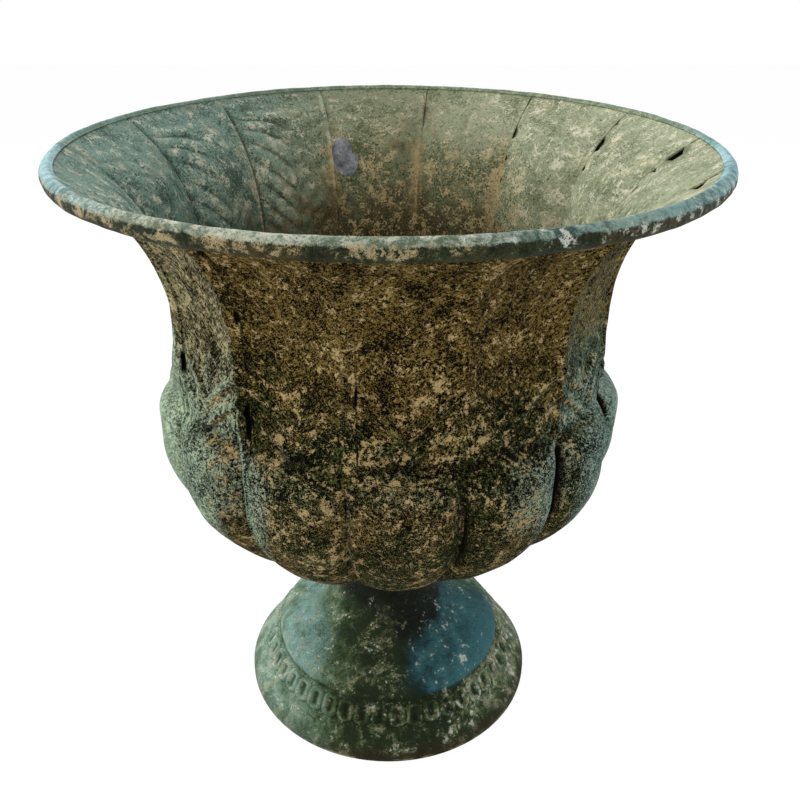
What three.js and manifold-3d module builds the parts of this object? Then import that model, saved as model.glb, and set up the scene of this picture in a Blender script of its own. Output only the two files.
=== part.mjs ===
// A garden urn of pressed sheet metal: a flared bowl of lapped panels with a rolled rim,
// bolted through its floor to a hollow pedestal foot.
// Millimetres, +Z up, origin on the ground under the middle of the foot, front towards -Y.
import * as THREE from "three";
import { mergeVertices } from "three/addons/utils/BufferGeometryUtils.js";
import Module from "manifold-3d";

const wasm = await Module();
wasm.setup();
const degree = Math.PI / 180;

// Sheet, seams and clearances
const sheet = 0.8;
const seamGap = 0.35;
const seatGap = 0.3;
const rimClearance = 0.5;

// Bowl, measured along its seams
const rimRadius = 132;
const rimHeight = 277.8;
const flareAngle = 58 * degree;
const waistRadius = 97;
const waistHeight = 211;
const bellyRadius = 97;
const bellyHeight = 155;
const padRadius = 34;
const toeRadius = 20;
const bowlFloor = 95;
const flareReach = 34;
const waistReach = 28;
const bellyReach = 20;
const floorReach = 34;

// Panels and their pressed relief
const panelCount = 14;
const firstSeam = -9.2 * degree;
const lapShare = 0.09;
const joggleShare = 0.14;
const plainEdge = 7;
const fluteColumn = 0.22;
const fluteDepth = 5;
const fluteHold = 70;
const fluteEnd = 112;
const ribCount = 4;
const ribHeight = 0.8;
const ribStart = 14;
const ribCrowding = 0.88;
const ribSquareness = 4;
const leafTip = 108;
const chevronRise = 16;
const chevronLeadIn = 34;
const lobeStart = 111;
const lobeRows = [0, 4, 12, 28, 48, 70];
const lobeHeight = 8.4;
const lobeSquareness = 2.4;
const lobeRoundness = 0.6;
const shoulderLength = 12;
const shoulderRoundness = 0.75;
const taperLength = 76;
const taperRoundness = 0.8;

// Rolled rim; its grip is how far the panels' edges reach past the middle of the bead
const beadRadius = 3.9;
const beadWall = 0.9;
const beadGrip = 0.6;
const beadSteps = 8;
const boreSteps = 6;
const ringSteps = 4 * panelCount;

// Bolted joint between bowl and foot
const discRadius = 31;
const discThickness = 1.5;
const boltRadius = 4;
const washerRadius = 9;
const washerThickness = 1.6;
const boltHeadRadius = 7.5;
const boltHeadHeight = 4.5;
const nutAcrossFlats = 13;
const nutThickness = 6.5;
const boltTail = 4;
const boltCrown = [0.62, 0.16];
const boltCheek = 0.6;
const discSteps = 20;
const boltSteps = 12;

// Pedestal
const footWall = 1.2;
const footRadius = 75;
const footEdge = 3;
const bandFoot = 11.5;
const bandFootRadius = 67.5;
const bandTop = 22.9;
const bandTopRadius = 60.2;
const grooveDepth = 0.5;
const shoulderRadius = 58.7;
const shoulderHeight = 25.6;
const domeRadius = 52;
const domeHeight = 33.5;
const domeReach = 20;
const domeLift = 6;
const neckRadius = 17.5;
const neckHeight = 73;
const capRadius = 25;
const throatSteps = 2;
const domeSteps = 4;
const shoulderSteps = 1;
const eggCount = 46;
const eggWidth = 7;
const eggLength = 11;
const eggHeight = 1.1;
const eggPlace = 0.41;
const eggSteps = [6, 3];

// Lump of solder left on the inside of the back
const tackAngle = 193 * degree;
const tackDepth = 42;
const tackWidth = 17;
const tackLength = 22;
const tackHeight = 11;
const tackTilt = 20 * degree;
const tackSteps = [10, 7];

const verdigris = 0x4f7a68;
const weathered = 0x6d6a4c;
const steel = 0x5b5a55;

const group = new THREE.Group();
group.name = "urn";

function clamp(value) {
  return Math.min(1, Math.max(0, value));
}

function smooth(value) {
  const share = clamp(value);
  return share * share * (3 - 2 * share);
}

function closed(geometry) {
  geometry.deleteAttribute("normal");
  geometry.deleteAttribute("uv");
  const merged = mergeVertices(geometry, 1e-4);
  const position = merged.getAttribute("position");
  const corners = [0, 1, 2].map(() => new THREE.Vector3());
  const kept = [];
  let volume = 0;
  for (let i = 0; i < merged.index.count; i += 3) {
    const triangle = [0, 1, 2].map((j) => merged.index.getX(i + j));
    if (new Set(triangle).size < 3) continue;
    triangle.forEach((vertex, j) => corners[j].fromBufferAttribute(position, vertex));
    volume += corners[0].dot(corners[1].clone().cross(corners[2]));
    kept.push(triangle);
  }
  if (volume < 0) kept.forEach((triangle) => triangle.reverse());
  merged.setIndex(kept.flat());
  return merged;
}

function solid(geometry) {
  const merged = closed(geometry);
  return new wasm.Manifold(new wasm.Mesh({
    numProp: 3,
    vertProperties: new Float32Array(merged.getAttribute("position").array),
    triVerts: new Uint32Array(merged.index.array),
  }));
}

function fromSolid(body) {
  const mesh = body.getMesh();
  const geometry = new THREE.BufferGeometry();
  geometry.setAttribute("position", new THREE.BufferAttribute(mesh.vertProperties, 3));
  geometry.setIndex(new THREE.BufferAttribute(mesh.triVerts, 1));
  return geometry;
}

function add(name, geometry, color, roughness, metalness) {
  const material = new THREE.MeshStandardMaterial({ color, roughness, metalness });
  const mesh = new THREE.Mesh(closed(geometry), material);
  mesh.name = name;
  group.add(mesh);
  return mesh;
}

// A closed outline of [radius, height] points turned about the upright axis
function turned(outline, steps, start = 0) {
  const points = outline.map(([radius, height]) => new THREE.Vector2(radius, height));
  return new THREE.LatheGeometry(points, steps, start).rotateX(Math.PI / 2);
}

function ring(innerRadius, outerRadius, bottom, top, steps) {
  const outline = [
    [innerRadius, bottom],
    [outerRadius, bottom],
    [outerRadius, top],
    [innerRadius, top],
    [innerRadius, bottom],
  ];
  return turned(outline, steps);
}

// The seam line runs down the outside from the rim to the toes on the floor
const rim = new THREE.Vector2(rimRadius, rimHeight);
const waist = new THREE.Vector2(waistRadius, waistHeight);
const belly = new THREE.Vector2(bellyRadius, bellyHeight);
const pad = new THREE.Vector2(padRadius, bowlFloor);
const toe = new THREE.Vector2(toeRadius, bowlFloor);
const flareRun = new THREE.Vector2(-Math.sin(flareAngle), -Math.cos(flareAngle));
const flare = new THREE.CubicBezierCurve(
  rim,
  rim.clone().addScaledVector(flareRun, flareReach),
  new THREE.Vector2(waistRadius, waistHeight + waistReach),
  waist,
);
const basin = new THREE.CubicBezierCurve(
  belly,
  new THREE.Vector2(bellyRadius, bellyHeight - bellyReach),
  new THREE.Vector2(padRadius + floorReach, bowlFloor),
  pad,
);
const seamLine = new THREE.CurvePath();
seamLine.add(flare);
seamLine.add(new THREE.LineCurve(waist, belly));
seamLine.add(basin);
seamLine.add(new THREE.LineCurve(pad, toe));
const seamLength = seamLine.getLength();
const padDepth = seamLength - (padRadius - toeRadius);

// Rows of a panel by their depth below the rim on its middle line and by how far they climb to
// its seams; ribs alternate up and down
function climb(depth) {
  return chevronRise * smooth(depth / chevronLeadIn);
}

const ribRows = 2 * ribCount;
const ribs = Array.from({ length: ribRows }, (unused, i) => {
  const depth = ribStart + (leafTip - ribStart) * (i / (ribRows - 1)) ** ribCrowding;
  return { depth, climb: climb(depth), rib: 0.5 - (i % 2) };
});
const rows = [
  { depth: 0, climb: 0, rib: 0 },
  { depth: plainEdge, climb: climb(plainEdge), rib: 0 },
  ...ribs,
  ...lobeRows.map((below) => ({ depth: lobeStart + below, climb: 0, rib: 0 })),
  { depth: padDepth, climb: 0, rib: 0 },
  { depth: seamLength, climb: 0, rib: 0 },
];

const columns = [
  -0.5,
  -0.5 + lapShare,
  -fluteColumn,
  0,
  fluteColumn,
  0.5 - joggleShare,
  0.5,
  0.5 + lapShare,
];

// Pressed relief, outwards from the seam line
function relief(across, row) {
  const fadeIn = smooth((row.depth - beadRadius) / chevronLeadIn);
  const fadeOut = 1 - smooth((row.depth - fluteHold) / (fluteEnd - fluteHold));
  const flute = -fluteDepth * fadeIn * fadeOut * (1 - across ** 2);
  const rib = ribHeight * row.rib * (1 - across ** ribSquareness);
  const turn = (clamp((row.depth - lobeStart) / shoulderLength) * Math.PI) / 2;
  const shoulder = Math.sin(turn) ** shoulderRoundness;
  const taper = clamp((padDepth - row.depth) / taperLength) ** taperRoundness;
  const section = (1 - across ** lobeSquareness) ** lobeRoundness;
  const lobe = lobeHeight * shoulder * taper * section;
  return flute + rib + lobe;
}

function panelPoint(seam, share, row, lift) {
  const local = share > 0.5 ? share - 1 : share;
  const across = Math.abs(2 * local);
  const joggle = (sheet + seamGap) * clamp((share - 0.5 + joggleShare) / joggleShare);
  const along = clamp((row.depth - row.climb * across) / seamLength);
  const point = seamLine.getPoint(along);
  const run = seamLine.getTangent(along);
  const out = relief(across, row) + joggle + lift;
  const radius = point.x - run.y * out;
  const height = point.y + run.x * out;
  const angle = seam + (share + 0.5) * ((2 * Math.PI) / panelCount);
  return new THREE.Vector3(radius * Math.sin(angle), -radius * Math.cos(angle), height);
}

// A sheet between two lifts off the seam line, closed round its four edges
function panelSheet(seam, outside, inside) {
  const points = [];
  for (const lift of [outside, inside]) {
    for (const row of rows) {
      for (const share of columns) points.push(panelPoint(seam, share, row, lift));
    }
  }
  const wide = columns.length;
  const back = rows.length * wide;
  const index = [];
  const quad = (a, b, c, d) => index.push(a, b, c, a, c, d);
  for (let i = 0; i + 1 < rows.length; i += 1) {
    for (let j = 0; j + 1 < wide; j += 1) {
      const k = i * wide + j;
      quad(k, k + wide, k + wide + 1, k + 1);
      quad(back + k, back + k + 1, back + k + wide + 1, back + k + wide);
    }
    const left = i * wide;
    const right = left + wide - 1;
    quad(left, back + left, back + left + wide, left + wide);
    quad(right, right + wide, back + right + wide, back + right);
  }
  const last = back - wide;
  for (let j = 0; j + 1 < wide; j += 1) {
    quad(j, j + 1, back + j + 1, back + j);
    quad(last + j, back + last + j, back + last + j + 1, last + j + 1);
  }
  const geometry = new THREE.BufferGeometry().setFromPoints(points);
  geometry.setIndex(index);
  return geometry;
}

function seamAngle(number) {
  return firstSeam + (number * 2 * Math.PI) / panelCount;
}

function addPanels() {
  for (let number = 0; number < panelCount; number += 1) {
    const name = `panel_${String(number + 1).padStart(2, "0")}`;
    add(name, panelSheet(seamAngle(number), 0, -sheet), weathered, 0.85, 0.25);
  }
}

// Rolled bead, a split tube that hangs outside the panels. Its inner lip lies over their inner
// face, its other lip stops short of their laps, and their top edges reach up into it.
function addRim() {
  const inset = beadRadius - beadWall - rimClearance - sheet;
  const outerLip = inset - seamGap - sheet - rimClearance;
  const outward = new THREE.Vector2(-flareRun.y, flareRun.x);
  const centre = rim.clone().addScaledVector(outward, inset).addScaledVector(flareRun, beadGrip);
  const arc = (radius, steps) => {
    const end = 2 * Math.PI - Math.acos(outerLip / radius);
    return Array.from({ length: steps + 1 }, (unused, i) => {
      const turn = (end * i) / steps;
      const point = centre.clone();
      point.addScaledVector(outward, -radius * Math.cos(turn));
      point.addScaledVector(flareRun, -radius * Math.sin(turn));
      return [point.x, point.y];
    });
  };
  const outer = arc(beadRadius, beadSteps);
  const inner = arc(beadRadius - beadWall, boreSteps).reverse();
  add("rim_hoop", turned([...outer, ...inner, outer[0]], ringSteps, firstSeam), verdigris, 0.6, 0.4);
}

const boreRadius = boltRadius + seatGap;
const clampBottom = bowlFloor + sheet + seatGap;
const clampTop = clampBottom + discThickness;
const supportTop = bowlFloor - seamGap - sheet - seatGap;
const supportBottom = supportTop - discThickness;
const capTop = supportBottom - seatGap;
const capBottom = capTop - footWall;

function addFloorDiscs() {
  const clampDisc = ring(boreRadius, discRadius, clampBottom, clampTop, discSteps);
  const supportDisc = ring(boreRadius, discRadius, supportBottom, supportTop, discSteps);
  add("clamp_disc", clampDisc, verdigris, 0.8, 0.3);
  add("support_disc", supportDisc, verdigris, 0.8, 0.3);
}

function addBolt() {
  const washerTop = clampTop + seatGap + washerThickness;
  const headBottom = washerTop + seatGap;
  const headTop = headBottom + boltHeadHeight;
  const lowerWasherTop = capBottom - seatGap;
  const nutTop = lowerWasherTop - washerThickness - seatGap;
  const nutBottom = nutTop - nutThickness;
  const bolt = [
    [0, headTop],
    [boltHeadRadius * boltCrown[0], headTop - boltHeadHeight * boltCrown[1]],
    [boltHeadRadius, headTop - boltHeadHeight * boltCheek],
    [boltHeadRadius, headBottom],
    [boltRadius, headBottom],
    [boltRadius, nutBottom - boltTail],
    [0, nutBottom - boltTail],
  ];
  add("bolt", turned(bolt, boltSteps), steel, 0.6, 0.7);
  const washer = (top) => ring(boreRadius, washerRadius, top - washerThickness, top, boltSteps);
  add("bolt_washer", washer(washerTop), steel, 0.6, 0.7);
  add("nut_washer", washer(lowerWasherTop), steel, 0.6, 0.7);
  const hexagon = new THREE.Shape();
  const corner = nutAcrossFlats / Math.sqrt(3);
  for (let side = 0; side < 6; side += 1) {
    const turn = side * 60 * degree;
    const move = side ? "lineTo" : "moveTo";
    hexagon[move](corner * Math.cos(turn), corner * Math.sin(turn));
  }
  hexagon.closePath();
  hexagon.holes.push(new THREE.Path().absarc(0, 0, boreRadius, 0, 2 * Math.PI, true));
  const extrusion = { depth: nutThickness, bevelEnabled: false, curveSegments: boltSteps };
  const nut = new THREE.ExtrudeGeometry(hexagon, extrusion);
  nut.translate(0, 0, nutBottom);
  add("nut", nut, steel, 0.6, 0.7);
}

// Shifts an open outline sideways, to its right as it runs, with mitred corners
function offset(outline, distance) {
  const points = outline.map(([x, y]) => new THREE.Vector2(x, y));
  return points.map((point, i) => {
    const before = points[Math.max(0, i - 1)];
    const after = points[Math.min(points.length - 1, i + 1)];
    const arriving = point.clone().sub(i ? before : point.clone().multiplyScalar(2).sub(after)).normalize();
    const leaving = (i + 1 < points.length ? after.clone().sub(point) : arriving.clone()).normalize();
    const side = new THREE.Vector2(arriving.y + leaving.y, -arriving.x - leaving.x);
    side.multiplyScalar((2 * distance) / side.lengthSq());
    return [point.x + side.x, point.y + side.y];
  });
}

// Spun foot: cap, neck, dome, groove, slanted band and edge, open underneath
function pedestalOutline() {
  const throat = new THREE.QuadraticBezierCurve(
    new THREE.Vector2(capRadius, capTop),
    new THREE.Vector2(neckRadius, capTop),
    new THREE.Vector2(neckRadius, neckHeight),
  );
  const dome = new THREE.CubicBezierCurve(
    new THREE.Vector2(neckRadius, neckHeight),
    new THREE.Vector2(neckRadius, (neckHeight + domeHeight) / 2),
    new THREE.Vector2(domeRadius - domeReach, domeHeight + domeLift),
    new THREE.Vector2(domeRadius, domeHeight),
  );
  const shoulder = new THREE.QuadraticBezierCurve(
    new THREE.Vector2(domeRadius, domeHeight),
    new THREE.Vector2(shoulderRadius, (domeHeight + shoulderHeight) / 2),
    new THREE.Vector2(shoulderRadius, shoulderHeight),
  );
  const curves = [
    ...throat.getPoints(throatSteps),
    ...dome.getPoints(domeSteps).slice(1),
    ...shoulder.getPoints(shoulderSteps).slice(1),
  ];
  return [
    [boreRadius, capTop],
    ...curves.map((point) => [point.x, point.y]),
    [shoulderRadius - grooveDepth, (shoulderHeight + bandTop) / 2],
    [bandTopRadius, bandTop],
    [bandFootRadius, bandFoot],
    [footRadius, footEdge],
    [footRadius, 0],
  ];
}

function addPedestal() {
  const outside = pedestalOutline();
  const inside = offset(outside, footWall);
  inside[0][0] = boreRadius;
  inside[inside.length - 1][1] = 0;
  const shell = turned([...outside, ...inside.reverse(), outside[0]], eggCount);
  let body = solid(shell);
  const run = new THREE.Vector2(bandFootRadius - bandTopRadius, bandFoot - bandTop);
  const slope = Math.atan2(run.y, run.x);
  const middle = new THREE.Vector2(bandTopRadius, bandTop).addScaledVector(run, eggPlace);
  for (let i = 0; i < eggCount; i += 1) {
    const egg = new THREE.SphereGeometry(1, ...eggSteps);
    egg.scale(eggLength / 2, eggWidth / 2, eggHeight);
    egg.rotateY(-slope);
    egg.translate(middle.x, 0, middle.y);
    egg.rotateZ(((i + 0.5) * 2 * Math.PI) / eggCount);
    body = body.add(solid(egg));
  }
  add("pedestal", fromSolid(body), verdigris, 0.7, 0.35);
}

// A lump of solder on the inner face, pressed against the seam it once held
function addTack() {
  const pitch = (2 * Math.PI) / panelCount;
  const number = Math.floor((tackAngle - firstSeam) / pitch);
  const share = (tackAngle - seamAngle(number)) / pitch - 0.5;
  const row = { depth: tackDepth, climb: 0, rib: 0 };
  const centre = panelPoint(seamAngle(number), share, row, -sheet);
  const lump = new THREE.SphereGeometry(1, ...tackSteps);
  lump.scale(tackWidth / 2, tackHeight / 2, tackLength / 2);
  lump.rotateX(tackTilt);
  lump.rotateZ(tackAngle);
  lump.translate(centre.x, centre.y, centre.z);
  let body = solid(lump);
  for (const neighbour of [number - 1, number, number + 1]) {
    const wall = panelSheet(seamAngle(neighbour), 2 * tackHeight, -sheet - seatGap);
    body = body.subtract(solid(wall));
  }
  add("solder_tack", fromSolid(body), steel, 0.7, 0.3);
}

addPanels();
addRim();
addFloorDiscs();
addBolt();
addPedestal();
addTack();

export default group;
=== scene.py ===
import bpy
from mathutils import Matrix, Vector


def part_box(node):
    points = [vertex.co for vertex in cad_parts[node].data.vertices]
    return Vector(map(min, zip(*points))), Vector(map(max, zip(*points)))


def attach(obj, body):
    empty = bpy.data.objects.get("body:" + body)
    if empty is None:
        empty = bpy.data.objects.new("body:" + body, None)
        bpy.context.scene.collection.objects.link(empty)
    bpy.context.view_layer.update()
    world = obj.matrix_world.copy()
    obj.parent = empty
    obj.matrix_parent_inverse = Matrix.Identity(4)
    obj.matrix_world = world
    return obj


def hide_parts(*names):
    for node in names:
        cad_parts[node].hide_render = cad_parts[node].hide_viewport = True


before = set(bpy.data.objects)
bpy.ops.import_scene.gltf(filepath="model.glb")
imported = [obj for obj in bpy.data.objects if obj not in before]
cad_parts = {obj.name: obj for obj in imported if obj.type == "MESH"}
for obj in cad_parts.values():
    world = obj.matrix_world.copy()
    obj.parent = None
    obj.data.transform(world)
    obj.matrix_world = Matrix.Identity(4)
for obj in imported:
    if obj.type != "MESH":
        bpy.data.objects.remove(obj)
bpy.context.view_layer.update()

import math
import bpy
import numpy as np
from mathutils import Matrix, Vector, noise

mm = 0.001

# The urn's own sizes, in millimetres, the same as the sheet metal parts have
urn = {
    "sheet": 0.8,
    "seamGap": 0.35,
    "panels": 14,
    "firstSeam": math.radians(-9.2),
    "rim": (132, 277.8),
    "flareAngle": math.radians(58),
    "flareReach": 34,
    "waist": (97, 211),
    "waistReach": 28,
    "belly": (97, 155),
    "bellyReach": 20,
    "floorReach": 34,
    "pad": (34, 95),
    "toeRadius": 20,
}
pitch = 2 * math.pi / urn["panels"]


def deselectAll():
    for thing in bpy.context.selected_objects:
        thing.select_set(False)


def smooth(value):
    share = np.clip(value, 0, 1)
    return share * share * (3 - 2 * share)


def ramp(value, start, length):
    return smooth((value - start) / length)


def hump(value, centre, width):
    return np.exp(-(((value - centre) / width) ** 2))


def bezier(count, *points):
    t = np.linspace(0, 1, count)[:, None]
    last = len(points) - 1
    weights = (math.comb(last, i) * (1 - t) ** (last - i) * t ** i for i in range(len(points)))
    return sum(weight * np.array(point, float) for weight, point in zip(weights, points))


# The seam line from the rim down to the toes, by its run in millimetres
def seamLine():
    rim, waist, belly, pad = urn["rim"], urn["waist"], urn["belly"], urn["pad"]
    angle, reach = urn["flareAngle"], urn["flareReach"]
    handle = (rim[0] - reach * math.sin(angle), rim[1] - reach * math.cos(angle))
    flare = bezier(300, rim, handle, (waist[0], waist[1] + urn["waistReach"]), waist)
    wall = np.linspace(waist, belly, 60)[1:]
    basin = bezier(300, belly, (belly[0], belly[1] - urn["bellyReach"]),
                   (pad[0] + urn["floorReach"], pad[1]), pad)[1:]
    toe = np.linspace(pad, (urn["toeRadius"], pad[1]), 20)[1:]
    line = np.concatenate([flare, wall, basin, toe])
    run = np.append(0, np.cumsum(np.hypot(*np.diff(line, axis=0).T)))
    tangent = np.gradient(line, run, axis=0)
    tangent /= np.hypot(*tangent.T)[:, None]
    return run, line, tangent


seamRun, seamPoints, seamTangents = seamLine()
seamLength = seamRun[-1]
padDepth = seamLength - (urn["pad"][0] - urn["toeRadius"])


def alongSeam(depth):
    point = [np.interp(depth, seamRun, seamPoints[:, i]) for i in (0, 1)]
    tangent = [np.interp(depth, seamRun, seamTangents[:, i]) for i in (0, 1)]
    return point, tangent


# The rim is bent up a little at the back
bend = {"rise": 6.0, "start": 225, "length": 51, "sharpness": 1.6}


def bendUp(points):
    back = np.clip(0.5 + 0.5 * points[:, 1] / urn["rim"][0], 0, 1) ** bend["sharpness"]
    points[:, 2] += bend["rise"] * back * ramp(points[:, 2], bend["start"], bend["length"])


def aroundAxis(radius, angle, height):
    return np.stack([radius * np.sin(angle), -radius * np.cos(angle), height], 1)


print("stage: sizes ready")


# One small class for shader sums, and one for a node tree: a material's or the world's
class Wire:
    def __init__(self, shade, socket):
        self.shade = shade
        self.socket = socket

    def __add__(self, other):
        return self.shade.math("ADD", self, other)

    def __radd__(self, other):
        return self.shade.math("ADD", other, self)

    def __sub__(self, other):
        return self.shade.math("SUBTRACT", self, other)

    def __rsub__(self, other):
        return self.shade.math("SUBTRACT", other, self)

    def __mul__(self, other):
        return self.shade.math("MULTIPLY", self, other)

    def __rmul__(self, other):
        return self.shade.math("MULTIPLY", other, self)


class Shade:
    def __init__(self, owner, look=None):
        self.owner = owner
        self.look = look or {}
        self.colour = None
        owner.use_nodes = True
        self.tree = owner.node_tree
        self.tree.nodes.clear()

    def feed(self, socket, value):
        if isinstance(value, Wire):
            self.tree.links.new(value.socket, socket)
        elif isinstance(value, (tuple, list)) and len(value) == 3 and socket.type == "RGBA":
            socket.default_value = (*value, 1)
        else:
            socket.default_value = value

    def node(self, kind, settings, inputs, out=0):
        made = self.tree.nodes.new(kind)
        for key, value in settings.items():
            setattr(made, key, value)
        for key, value in inputs.items():
            self.feed(made.inputs[key], value)
        return Wire(self, made.outputs[out])

    def math(self, operation, a, b=0.0):
        return self.node("ShaderNodeMath", {"operation": operation}, {0: a, 1: b})

    def place(self):
        return self.node("ShaderNodeTexCoord", {}, {}, "Object")

    def sheetPlace(self):
        return self.node("ShaderNodeUVMap", {"uv_map": "sheet"}, {})

    def parts(self, place):
        split = self.node("ShaderNodeSeparateXYZ", {}, {0: place}).socket.node
        return [Wire(self, output) for output in split.outputs]

    def noise(self, place, scale, detail, rough, distortion=0.0, shift=None, stretch=(1, 1, 1)):
        if shift:
            moved = {"Vector": place, "Location": shift, "Scale": stretch}
            place = self.node("ShaderNodeMapping", {}, moved)
        inputs = {"Vector": place, "Scale": scale, "Detail": detail, "Roughness": rough,
                  "Distortion": distortion}
        return self.node("ShaderNodeTexNoise", {}, inputs, "Fac")

    def noises(self, place):
        return [self.noise(place, *settings) for settings in self.look["noises"]]

    def band(self, value, low, high, top=1.0, bottom=0.0):
        settings = {"interpolation_type": "SMOOTHSTEP", "clamp": True}
        return self.node("ShaderNodeMapRange", settings, {0: value, 1: low, 2: high, 3: bottom, 4: top})

    def mix(self, factor, a, b):
        a, b = (self.look.get(colour, colour) for colour in (a, b))
        return self.node("ShaderNodeMix", {"data_type": "RGBA"}, {0: factor, 6: a, 7: b}, 2)

    def lay(self, factor, colour):
        self.colour = self.mix(factor, self.colour, colour)

    def attribute(self, name):
        return self.node("ShaderNodeAttribute", {"attribute_name": name}, {}, "Fac")

    def show(self, surface, kind="ShaderNodeOutputMaterial"):
        self.feed(self.tree.nodes.new(kind).inputs[0], surface)
        return self.owner

    def finish(self, roughness, height, depth, strength, specular, metallic=0.0):
        bump = self.node("ShaderNodeBump", {}, {"Height": height, "Distance": depth, "Strength": strength})
        return self.show(self.node("ShaderNodeBsdfPrincipled", {}, {
            "Base Color": self.colour, "Roughness": roughness, "Metallic": metallic,
            "Specular IOR Level": specular, "Normal": bump,
        }))


def newMaterial(name, look=None):
    return Shade(bpy.data.materials.new(name), look)


# Old green paint under a tan and brown crust, browner towards the front and greener low down
outsideLook = {
    "deepGreen": (0.008, 0.012, 0.002),
    "green": (0.08, 0.094, 0.026),
    "seaGreen": (0.14, 0.19, 0.118),
    "paleSea": (0.31, 0.415, 0.29),
    "blueGreen": (0.165, 0.26, 0.205),
    "paleGreen": (0.4, 0.45, 0.3),
    "paleTeal": (0.52, 0.66, 0.46),
    "paleBlue": (0.42, 0.58, 0.49),
    "brown": (0.026, 0.018, 0.004),
    "tan": (0.215, 0.145, 0.041),
    "darkOlive": (0.06, 0.055, 0.022),
    "olive": (0.3, 0.265, 0.142),
    "paleTan": (0.52, 0.375, 0.172),
    "black": (0.002, 0.002, 0.001),
    # scale, detail, roughness, distortion and shift of broad, patch, blot, small and grit
    "noises": (
        (20, 3, 0.55),
        (66, 4, 0.62, 0.4, (0.31, 0.12, 0.5)),
        (230, 4, 0.7, 0.3, (0.61, 0.42, 0.2)),
        (640, 4, 0.75, 0.0, (0.7, 0.2, 0.1)),
        (2000, 2, 0.8, 0.0, (0.1, 0.9, 0.4)),
    ),
    # the same, and the stretch along the barbs
    "streak": (1250, 4, 0.75, 0.5, (0.2, 0.4, 0.6), (0.26, 1, 1)),
}


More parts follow.
